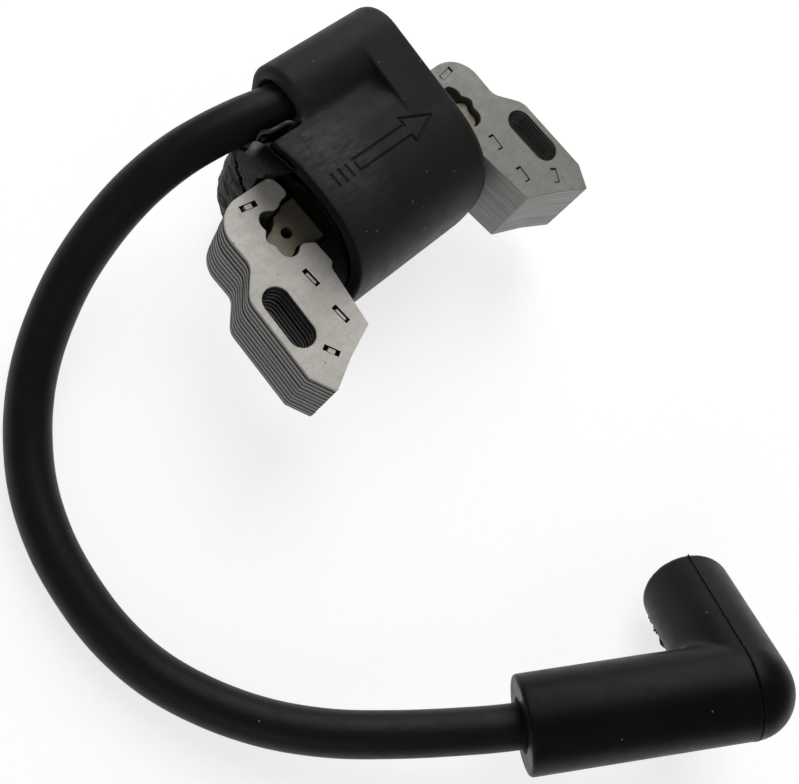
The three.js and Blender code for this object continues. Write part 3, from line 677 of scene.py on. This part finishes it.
def boss_ring(x, inset):
    r = BOSS_R - inset
    out = [(BOSS_Y + r * math.cos(a), BOSS_Z + r * math.sin(a)) for a in (math.radians(-8 + 208 * i / 60) for i in range(61))]
    out += [(9.2 + inset, 13.5), (6, 8), (6, 1), (16.5 - inset, 1 + inset), (20.4 - inset, 8.5)]
    return [(x, y, z) for y, z in out]


def plateau_ring(x, inset):
    top = BODY_Z + BODY_B - inset
    return [(x, y, z) for y, z in ((0, 12), (14, 12), (16.5, 20), (BOSS_Y + 0.6, BOSS_Z + BOSS_R - inset), (BOSS_Y - 0.6, BOSS_Z + BOSS_R - inset), (1.5, top), (0, top))]


def lip_ring(x, inset):
    top = BODY_Z + BODY_B - inset
    return [(x, y, z) for y, z in ((0, 12), (11.6, 12), (11.6, 22.0 - inset), (10.9, 22.0 - inset), (10.2, 22.05 - inset), (9.2, 22.25 - inset), (8.0, 22.7 - inset), (6.8, 23.1 - inset), (5.4, top - 0.05), (1.5, top), (0, top))]


def ramp01(v, a, b):
    """0 at a, 1 at b"""
    t = max(0.0, min(1.0, (v - a) / (b - a)))
    return t * t * (3 - 2 * t)


def soften(o, weight, iterations):
    """smooths a part of a mesh, more where weight(point) is near 1"""
    g = o.vertex_groups.new(name="soft")
    for v in o.data.vertices:
        k = weight(v.co)
        if k > 0.01:
            g.add([v.index], k, "REPLACE")
    m = o.modifiers.new("s", "SMOOTH")
    m.factor, m.iterations, m.vertex_group = 0.5, iterations, "soft"
    baked(o)
    o.vertex_groups.clear()
    return o


def build_housing():
    body = loft("coil_housing_moulding", [body_ring(BODY_X0, 0.35), body_ring(BODY_X0 + 0.4, 0), body_ring(BODY_X1 - 1.4, 0), body_ring(BODY_X1 - 0.6, 0.2), body_ring(BODY_X1 - 0.15, 0.65), body_ring(BODY_X1, 1.3)])
    boss = loft("t", [boss_ring(BOSS_X0, 0.7), boss_ring(BOSS_X0 + 0.3, 0.25), boss_ring(BOSS_X0 + 0.8, 0), boss_ring(BODY_X1 - 1.3, 0), boss_ring(BODY_X1 - 0.55, 0.2), boss_ring(BODY_X1 - 0.12, 0.6), boss_ring(BODY_X1, 1.2)])
    flat = loft("t", [plateau_ring(STEP_X, 0), plateau_ring(BODY_X1 - 1.3, 0), plateau_ring(BODY_X1 - 0.55, 0.2), plateau_ring(BODY_X1 - 0.12, 0.6), plateau_ring(BODY_X1, 1.2)])
    front = loft("t", [lip_ring(BODY_X0 + 0.1, 0.3), lip_ring(BODY_X0 + 0.5, 0), lip_ring(STEP_X + 2, 0)])
    boolean(body, [boss, flat, front], "UNION")
    inner = [[(BODY_X0 - 1, y, z) for y, z in section(WALL)], [(FLOOR_X - 1.2, y, z) for y, z in section(WALL)], [(FLOOR_X, y, z) for y, z in section(WALL + 1)]]
    cuts = [
        loft("t", inner),
        prism_x("t", [(11, 3.2), (16.0, 3.2), (17.6, 8.6), (17.6, 10.6), (11, 10.6)], -6.5, 11),
        rod("t", (BOSS_X0 - 2, BOSS_Y + 0.1, BOSS_Z), (1.0, BOSS_Y + 0.1, BOSS_Z), LEAD_D / 2 + LEAD_GAP),
        rod("t", (-20, 18.2, 17.0), (-8.8, 16.0, 18.25), 4.2),
        prism_x("t", [(10.7, 16.6), (14.4, 16.6), (14.4, 25), (10.7, 25)], BODY_X0 - 1, -9.7),
        rod("t", (0.5, BOSS_Y + 0.1, BOSS_Z), (6.5, BOSS_Y + 0.1, BOSS_Z), 1.0, 24),
        prism_x("t", rounded(14.9, 13.6, 1.4, 5.0, 0.8, 3), 3.4, 6.6),
        prism_x("t", rounded(CORE_Y, CORE_Z, 4.3, 6.45, 0.5, 3), FLOOR_X - 2, BODY_X1 + 1),
    ]
    boolean(body, cuts, "DIFFERENCE")
    remesh(body, 0.22, 5, 0.5)
    # the valley beside the boss, and the web, run together in soft fillets
    soften(body, lambda p: ramp01(p.x, STEP_X + 0.2, STEP_X - 1.2) * ramp01(p.z, 19.5, 21) * ramp01(p.y, 3.5, 7) * ramp01(p.y, 16, 13) * ramp01(p.x, -9.6, -8.6), 70)
    return body


def arrow_strokes():
    """plain engraved orientation mark: an outline arrow with three short bars behind it (x, y) in mm"""
    y0, h, x0, x1 = 0.45, 1.0, -8.2, 3.0
    outline = [(x0, y0 - h), (x1, y0 - h), (x1, y0 - 2.3), (8.2, y0), (x1, y0 + 2.3), (x1, y0 + h), (x0, y0 + h), (x0, y0 - h)]
    bars = [[(x, y0 - h), (x, y0 + h)] for x in (-9.7, -11.2, -12.7)]
    return [outline] + bars


def engrave(o, strokes, depth=0.30, half=0.19):
    """refines the front of the housing round the strokes and presses them in"""
    segs = [(Vector(a), Vector(b)) for s in strokes for a, b in zip(s, s[1:])]

    def dist(x, y):
        p = Vector((x, y))
        best = 9.0
        for a, b in segs:
            ab = b - a
            t = max(0.0, min(1.0, (p - a).dot(ab) / ab.length_squared))
            best = min(best, (p - a - ab * t).length)
        return best

    bm = bmesh.new()
    bm.from_mesh(o.data)
    for reach, cuts in ((0.75, 1), (0.5, 1)):
        faces = [f for f in bm.faces if f.normal.z > 0.5 and f.calc_center_median().z > 18 and -15 < f.calc_center_median().x < 10 and -3.2 < f.calc_center_median().y < 3.8]
        faces = [f for f in faces if dist(*f.calc_center_median().xy) < reach]
        edges = list({e for f in faces for e in f.edges})
        bmesh.ops.subdivide_edges(bm, edges=edges, cuts=cuts, use_grid_fill=True)
    for v in bm.verts:
        if v.co.z > 18 and -15 < v.co.x < 10 and -3.2 < v.co.y < 3.8:
            d = dist(v.co.x, v.co.y)
            if d < half * 2.2:
                k = 1 - max(0.0, min(1.0, (d - half * 0.6) / (half * 1.1)))
                v.co.z -= depth * k * k * (3 - 2 * k)
    bm.to_mesh(o.data)
    bm.free()


def scuff(o):
    """shallow dents, drag lines and raised flecks of the handled front"""
    rnd = random.Random(11)
    lines = []
    for _ in range(16):
        x, y = rnd.uniform(-12.5, -7.5), rnd.uniform(-3.0, 10.5)
        a = rnd.gauss(math.radians(-118), 0.25)
        lines.append((Vector((x, y)), Vector((x, y)) + Vector((math.cos(a), math.sin(a))) * rnd.uniform(0.8, 3.6), rnd.choice((-1, -1, 1)) * rnd.uniform(0.04, 0.09)))
    co = np.zeros(len(o.data.vertices) * 3, np.float32)
    o.data.vertices.foreach_get("co", co)
    co = co.reshape(-1, 3)
    sel = np.where((co[:, 2] > 17.5) & (co[:, 0] > -16) & (co[:, 0] < -3) & (co[:, 1] > -8) & (co[:, 1] < 13))[0]
    p = co[sel, :2].astype(float)
    for a, b, h in lines:
        a, ab = np.array(a), np.array(b - a)
        t = np.clip(((p - a) @ ab) / (ab @ ab), 0, 1)
        d = np.linalg.norm(p - a - t[:, None] * ab, axis=1)
        co[sel, 2] += (h * np.exp(-((d / 0.22) ** 2))).astype(np.float32)
    o.data.vertices.foreach_set("co", co.ravel())


M_HOUSING = housing_material()
# the open end's rim face and the bore inside it are painted near black: painted shade of the recess
M_SHADE = plain_material("housing_open_end_painted_shade", (0.0045, 0.0050, 0.0046), 0.6, spec=0.10)
housing = build_housing()
scuff(housing)
engrave(housing, arrow_strokes())
place(housing, "coil", (M_HOUSING, M_SHADE), ("coil_housing",))
_front = 0.001 * (BODY_X0 + 0.34)
# faces of the open end and of the bore behind it take the painted-shade finish
housing.data.polygons.foreach_set("material_index", [1 if (p.center.x < _front and p.normal.x < -0.25) or (p.center.x < -0.0125 and abs(p.center.y - 0.001 * (BODY_Y + OFF.y)) < 0.0135 and p.normal.x > -0.4 and p.normal.dot(Vector((0, p.center.y - 0.001 * (BODY_Y + OFF.y), p.center.z - 0.001 * (BODY_Z + OFF.z)))) < 0) else 0 for p in housing.data.polygons])

# ---------------------------------------------------------------- open end: resin, nose, wire
# the resin is black, and is set darker still than the housing plastic: partly its own colour, partly painted shade of
# the recess it sits in
M_RESIN = Mat("potting_resin", (0.005, 0.0053, 0.005), 0.34, spec=0.25)
_a, _b = M_RESIN.noise(240, 6, 0.7), M_RESIN.noise(1100, 4, 0.6)
M_RESIN.color(M_RESIN.ramp(_a, [(0.3, (0.0025, 0.0028, 0.0025)), (0.75, (0.009, 0.0095, 0.0085))]))
M_RESIN.rough(_b, 0.26, 0.55)
M_RESIN = M_RESIN.bump((_b, 0.0002, 0.45), (_a, 0.0008, 0.5)).m


def displaced(o, amount, scale, test=None):
    co = [v.co.copy() for v in o.data.vertices]
    nrm = [v.normal.copy() for v in o.data.vertices]
    for v, p, n in zip(o.data.vertices, co, nrm):
        k = 1.0 if test is None else test(p)
        if k:
            v.co = p + n * (amount * k * noise.fractal(p * scale, 1.0, 2.0, 4))
    return o


resin = boolean(prism_x("potting_resin_fill", section(WALL + 0.3), -14.2, -12.4), [prism_x("t", circle(CORE_Y, CORE_Z, NOSE_R + 0.3), -15, -12)], "DIFFERENCE")
remesh(resin, 0.34, 3)
displaced(resin, 0.35, 0.35, lambda p: 1.0 if p.x < -13.6 else 0.2)
place(resin, "coil", M_RESIN, ("potting_compound",))

M_NOSE = Mat("former_nylon", (0.0035, 0.0042, 0.0037), 0.44, spec=0.07)
# _nose_shade darkens the nose towards the lower right, past the cut at the leg: painted shade where the nose falls
# into shadow
_nose_shade = M_NOSE.near_point(W((-17, -10, 20)), 0.0186, 0.0040)
_a, _b = M_NOSE.noise(300, 5, 0.65), M_NOSE.noise(1500, 4, 0.6)
_nose_shade = M_NOSE.math("MULTIPLY", _nose_shade, 0.97)
_s = M_NOSE.math("MULTIPLY", M_NOSE.near_point(W((-16.9, 12.9, 19.6)), 0.0004, 0.0017, (0.6, 1.0, 0.55)), M_NOSE.ramp(M_NOSE.noise(620, 5, 0.7, M_NOSE.mapping((1.6, 0.5, 0.5))), [(0.30, 0.15), (0.56, 1.0)]))
M_NOSE.color(M_NOSE.mix(_nose_shade, M_NOSE.mix(M_NOSE.math("MULTIPLY", _s, 0.8), M_NOSE.ramp(_a, [(0.3, (0.0022, 0.0027, 0.0024)), (0.75, (0.0052, 0.0061, 0.0055))]), (0.44, 0.46, 0.44)), (0.0012, 0.0013, 0.0012)))
M_NOSE.rough(_b, 0.34, 0.52)
M_NOSE = M_NOSE.bump((_b, 0.00012, 0.4), (_a, 0.0004, 0.35)).m
nose = boolean(
    loft("former_nose_cap", [[(x, y, z) for y, z in section(i)] for x, i in ((NOSE_X, 4.2), (NOSE_X + 0.06, 3.5), (NOSE_X + 0.15, 3.0), (NOSE_X + 0.3, 2.3), (NOSE_X + 0.5, 1.7), (NOSE_X + 0.8, 1.15), (NOSE_X + 1.1, 0.75), (NOSE_X + 1.5, 0.48), (NOSE_X + 1.95, 0.35))]),
    [prism_x("t", circle(CORE_Y, CORE_Z, NOSE_R, 160), NOSE_X + 1, -13.6)], "UNION")
boolean(nose, [
    prism_x("t", rounded(CORE_Y, CORE_Z, 4.25, 6.45, 0.4), -20, -12),
    prism_x("t", [(-30, -20), (9.0, -20), (9.0, 15.2), (4.8, 22.6), (4.8, 30), (-30, 30)], -25, -14.9),
    rod("t", (-24, 18.5, 16.2), (-8.8, 16.0, 18.25), 4.2),
], "DIFFERENCE")
remesh(nose, 0.24, 4)
soften(nose, lambda p: ramp01(p.x, -14.6, -15.2) * ramp01(p.y, 10.4, 9.4) * ramp01(p.z, 17.0, 18.5), 60)


def nose_skin(p):
    """rough cast end left of the crack line, smooth to its right"""
    side = (p.y - 10.4) + (p.z - 9.1) * -0.95
    return ramp01(side, -0.4, 1.2)


def crack(o):
    """a crooked open crack down the end of the nose"""
    co = np.zeros(len(o.data.vertices) * 3, np.float32)
    o.data.vertices.foreach_get("co", co)
    co = co.reshape(-1, 3)
    a, b = np.array((14.0, 13.2)), np.array((9.6, 8.7))
    q = co[:, 1:3].astype(float)
    ab = b - a
    t = np.clip(((q - a) @ ab) / (ab @ ab), 0, 1)
    wob = 0.22 * np.sin(t * 17.0) + 0.12 * np.sin(t * 41.0 + 1)
    perp = np.array((-ab[1], ab[0])) / np.linalg.norm(ab)
    d = np.abs((q - a - t[:, None] * ab) @ perp + wob)
    end = np.linalg.norm(q - a - t[:, None] * ab, axis=1) < 0.8
    k = np.exp(-((d / 0.26) ** 2)) * end * (co[:, 0] < -15.8) * np.minimum(1, 6 * t + 0.2)
    co[:, 0] += (0.95 * k).astype(np.float32)
    o.data.vertices.foreach_set("co", co.ravel())


displaced(nose, 0.20, 0.42, lambda p: (nose_skin(p) if p.x < -15.9 else 0.0) + 0.08)
crack(nose)
place(nose, "coil", M_NOSE, ("former_nose",))

M_WIRE = plain_material("lead_out_wire", (0.034, 0.035, 0.032), 0.36, scale=700, vary=0.3)
wire_pts = sample([(-15.3, 13.0, 17.2), (-15.45, 13.2, 18.8), (-15.2, 13.2, 20.2), (-14.5, 12.5, 21.0), (-13.1, 12.25, 21.2), (-11.6, 12.05, 21.5), (-10.7, 11.6, 21.3), (-10.45, 11.4, 20.2), (-10.6, 11.4, 18.8)], 8)
wire = tube("primary_lead_out", wire_pts, 0.37, 18)
place(wire, "coil", M_WIRE, ("primary_lead_loop",))

# ---------------------------------------------------------------- elbow boot
M_BOOT = rubber_material("boot_rubber", (0.0056, 0.0065, 0.0052), (0.0036, 0.0042, 0.0033), 0.39, 0.3, 0.12)


def along(d, t):
    return ELBOW + d * t


def build_boot():
    a = lathe("elbow_boot_moulding", ELBOW, eA, [(0, 0), (0, BOOT_R), (ARM_A_LEN - 0.5, BOOT_R), (ARM_A_LEN - 0.2, BOOT_R - 0.08), (ARM_A_LEN - 0.04, BOOT_R - 0.24), (ARM_A_LEN, BOOT_R - 0.5), (ARM_A_LEN, 0)], 128)
    b = lathe("t", ELBOW, eB, [(0, 0), (0, PLUG_R), (ARM_B_LEN - 0.9, PLUG_R), (ARM_B_LEN - 0.35, PLUG_R - 0.12), (ARM_B_LEN - 0.05, PLUG_R - 0.4), (ARM_B_LEN, PLUG_R - 0.8), (ARM_B_LEN, 0)], 128)
    bm = bmesh.new()
    bmesh.ops.create_icosphere(bm, subdivisions=5, radius=BOOT_R + 0.03)
    bmesh.ops.translate(bm, verts=bm.verts, vec=ELBOW)
    me = bpy.data.meshes.new("t")
    bm.to_mesh(me)
    bm.free()
    ball = bpy.data.objects.new("t", me)
    COL.objects.link(ball)
    boolean(a, [b, ball], "UNION")
    # the crook between the arms is filled a little by the mould's fillet
    remesh(a, 0.28, 2, 0.5)
    crook = ELBOW + (eA + eB) * 7.6
    soften(a, lambda p: ramp01((p - crook).length, 9.5, 5.0), 150)
    soften(a, lambda p: 0.8 * ramp01((p - ELBOW).dot(eA), 30, 26) * ramp01((p - ELBOW).dot(eB), 21, 17), 10)
    g = lambda t, r: (t, r)
    cuts = [
        rod("t", along(eA, 20), along(eA, ARM_A_LEN + 3), LEAD_D / 2 + LEAD_GAP, 72),
        lathe("t", along(eA, ARM_A_LEN - 0.9), eA, [g(0, 0), g(0, LEAD_D / 2 + LEAD_GAP), g(1.2, LEAD_D / 2 + 1.0), g(3, LEAD_D / 2 + 1.0), g(3, 0)], 72),
        rod("t", along(eA, -1), along(eA, 21), 1.3, 32),
        lathe("t", along(eB, ARM_B_LEN + 2), -eB, [g(0, 0), g(0, SOCKET_R + 0.55), g(2, SOCKET_R + 0.5), g(2.25, SOCKET_R + 0.2), g(2.8, SOCKET_R), g(2 + SOCKET_DEPTH, SOCKET_R), g(2.4 + SOCKET_DEPTH, THROAT_R), g(2 + THROAT_DEPTH, THROAT_R), g(2 + THROAT_DEPTH, 0)], 96),
        rod("t", along(eB, -3.2), along(eB, 8), 3.1, 48),
    ]
    boolean(a, cuts, "DIFFERENCE")
    return a


def seam(o):
    """parting line of the mould: a thin raised ridge with a fine groove, in the plane across the lead arm"""
    bm = bmesh.new()
    bm.from_mesh(o.data)
    for d in (-0.34, -0.16, 0.0, 0.16, 0.34):
        bmesh.ops.bisect_plane(bm, geom=bm.verts[:] + bm.edges[:] + bm.faces[:], plane_co=ELBOW + eA * d, plane_no=eA, dist=1e-5)
    bm.normal_update()
    for v in bm.verts:
        q = v.co - ELBOW
        d = q.dot(eA)
        if abs(d) > 0.36 or v.normal.dot(eA) > 0.7 or v.normal.dot(eA) < -0.7:
            continue
        t = q.dot(eB)
        radial = q - eB * t if t > 0 else q - eA * d
        if radial.length < 7.0:
            continue
        if abs(d) < 0.05:
            v.co -= v.normal * 0.17
        elif abs(d) < 0.2:
            v.co += v.normal * 0.05
    bm.to_mesh(o.data)
    bm.free()


def nib(name, at, out, size):
    """a small torn flap of flash where the parting line meets an edge"""
    d, u, w = Vector(out).normalized(), None, None
    u = (eA - d * eA.dot(d)).normalized()
    w = d.cross(u)
    v = [at - d * 0.5 + u * a * 0.14 * size + w * b * 0.7 * size for a, b in ((-1, -1), (1, -1), (1, 1), (-1, 1))]
    v += [at + d * (0.75 * size) + u * a * 0.07 * size + w * (b * 0.32 + 0.25) * size for a, b in ((-1, -1), (1, -1), (1, 1), (-1, 1))]
    return new_object(name, v, [(0, 1, 2, 3), (4, 5, 6, 7), (0, 1, 5, 4), (1, 2, 6, 5), (2, 3, 7, 6), (3, 0, 4, 7)])


boot = build_boot()
seam(boot)
place(boot, "boot", M_BOOT, ("plug_boot",), angle=50)
n1 = nib("boot_flash_mouth", along(eB, ARM_B_LEN - 0.7) - eN * (PLUG_R - 0.15), -eN, 0.8)
n2 = nib("boot_flash_heel", ELBOW + eN * (BOOT_R - 0.1) - eB * 0.6, eN, 0.75)
for o in (n1, n2):
    place(o, "boot", M_BOOT, smooth=False)


def ragged_rim():
    """torn mould flash along the plug arm, on the side of the crook"""
    rnd = random.Random(5)
    verts, n = [], 60
    for i in range(n + 1):
        t = i / n
        a = math.radians(64 + 7 * noise.noise(Vector((t * 4.1, 2.2, 0))))
        rad = eN * math.cos(a) + eA * math.sin(a)
        side = eB.cross(rad).normalized()
        gap = 0.18 if (i // 4) % 3 == 2 else 1.0
        h = (0.12 + 0.75 * max(0, noise.noise(Vector((t * 17, 1.7, 0)))) + 0.22 * rnd.random()) * gap * math.sin(math.pi * t) ** 0.3
        base = along(eB, ARM_B_LEN - 1.6 - 15.5 * t) + rad * (PLUG_R - 0.14)
        w = 0.30 * gap + 0.1 * rnd.random()
        verts += [base - side * w, base + rad * (h + 0.14) - side * w * 0.25, base + rad * (h + 0.10) + side * w * 0.45, base + side * w]
    faces = [(i * 4 + k, i * 4 + (k + 1) % 4, i * 4 + 4 + (k + 1) % 4, i * 4 + 4 + k) for i in range(n) for k in range(4)]
    faces += [(0, 1, 2, 3), tuple(n * 4 + k for k in range(4))]
    return new_object("boot_flash_rim", verts, faces)


place(ragged_rim(), "boot", M_BOOT, smooth=False)

# ---------------------------------------------------------------- plug terminal
M_STEEL = Mat("plated_steel", (0.62, 0.62, 0.60), 0.28, metallic=1.0)
_a, _b = M_STEEL.noise(600, 5, 0.6), M_STEEL.noise(2500, 4, 0.6)
M_STEEL.color(M_STEEL.ramp(_a, [(0.3, (0.45, 0.45, 0.43)), (0.7, (0.68, 0.68, 0.66))]))
M_STEEL.rough(_b, 0.20, 0.42)
M_STEEL = M_STEEL.bump((_b, 0.00004, 0.4)).m
term = boolean(
    lathe("plug_terminal_cup", along(eB, 5.8), eB, [(0, 0), (0, 2.5), (0.12, 2.6), (0.9, 2.6), (1.1, 2.8), (1.4, 4.05), (1.7, 4.2), (9.35, 4.2), (9.55, 4.1), (9.6, 3.9), (9.5, 3.6), (9.2, 3.55), (2.2, 3.55), (2.0, 3.3), (2.0, 0)], 96),
    [rod("t", along(eB, -2.4), along(eB, 6.3), 1.9, 48)], "UNION")
place(term, "boot", M_STEEL, ("plug_terminal",), angle=35)
clip_pts = []
for i in range(73):
    a = math.radians(20 + 320 * i / 72)
    w = eB.cross(eA)
    clip_pts.append(along(eB, 16.2) + eA * (3.95 * math.cos(a)) + w * (3.95 * math.sin(a)))
clip = place(tube("snap_ring", clip_pts, 0.36, 16), "boot", M_STEEL, ("terminal_clip",), angle=40)
prong = place(lathe("lead_prong", along(eA, 2.3), eA, [(0, 0), (0, 0.8), (0.15, 0.9), (17.2, 0.9), (17.7, 0.78), (19.2, 0.05), (19.2, 0)], 40), "boot", M_STEEL, ("terminal_prong",), angle=35)

# ---------------------------------------------------------------- inner CAD pieces keep their shape and get their finish
M_COPPER = winding_material()
M_NYLON = plain_material("bobbin_nylon", (0.05, 0.052, 0.047), 0.45, scale=350)
M_PAPER = plain_material("insulation_paper", (0.52, 0.38, 0.2), 0.75, scale=260, vary=0.2, bump=0.0002)
M_BOARD = plain_material("board_laminate", (0.06, 0.19, 0.08), 0.5, scale=900)
M_CHIP = plain_material("chip_plastic", (0.02, 0.02, 0.021), 0.5, scale=1200)
M_BRASS = plain_material("terminal_brass", (0.62, 0.43, 0.17), 0.3, metallic=1.0, scale=500, vary=0.18)
for node, mat in {
    "primary_bobbin": M_NYLON, "secondary_bobbin": M_NYLON, "primary_winding": M_COPPER, "secondary_winding_inner": M_COPPER, "secondary_winding_outer": M_COPPER,
    "winding_insulation": M_PAPER, "control_board": M_BOARD, "switching_transistor": M_CHIP, "timing_resistor": M_PAPER, "lead_spike": M_BRASS, "high_tension_link": M_BRASS,
}.items():
    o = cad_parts[node]
    o.data.materials.clear()
    o.data.materials.append(mat)

# ---------------------------------------------------------------- table and light
me = bpy.data.meshes.new("table")
me.from_pydata([(-2.5, -2.5, 0), (2.5, -2.5, 0), (2.5, 2.5, 0), (-2.5, 2.5, 0)], [], [(0, 1, 2, 3)])
table = bpy.data.objects.new("table", me)
COL.objects.link(table)
table.location.z = -0.00002
m = Mat("table_white", (0.50, 0.50, 0.50), 0.9, spec=0.05)
m.b.inputs["Emission Color"].default_value = (1, 1, 1, 1)
m.b.inputs["Emission Strength"].default_value = 0.74
grain = m.noise(700, 3, 0.5)
m.color(m.ramp(grain, [(0.3, (0.47, 0.47, 0.47)), (0.7, (0.52, 0.52, 0.52))]))
me.materials.append(m.m)

world = bpy.data.worlds.new("studio")
scene.world = world
world.use_nodes = True
world.node_tree.nodes["Background"].inputs["Color"].default_value = (1, 1, 1, 1)
world.node_tree.nodes["Background"].inputs["Strength"].default_value = 0.16


def area(name, at, target, size, power, size_y=None):
    l = bpy.data.lights.new(name, "AREA")
    l.energy, l.size = power, size
    if size_y:
        l.shape, l.size_y = "RECTANGLE", size_y
    o = bpy.data.objects.new(name, l)
    o.location = at
    o.rotation_mode = "QUATERNION"
    o.rotation_quaternion = (Vector(target) - Vector(at)).to_track_quat("-Z", "Y")
    COL.objects.link(o)
    return o


C0 = Vector((-0.02, -0.04, 0.012))
area("key", C0 + Vector((0.52, 0.42, 0.34)), C0, 0.50, 2.1)
area("top", C0 + Vector((0.36, 0.34, 0.74)), C0, 0.50, 1.9)
area("fill", C0 + Vector((-0.60, -0.30, 0.40)), C0, 0.4, 0.6)
scene.view_settings.view_transform = "Standard"
scene.view_settings.look = "None"
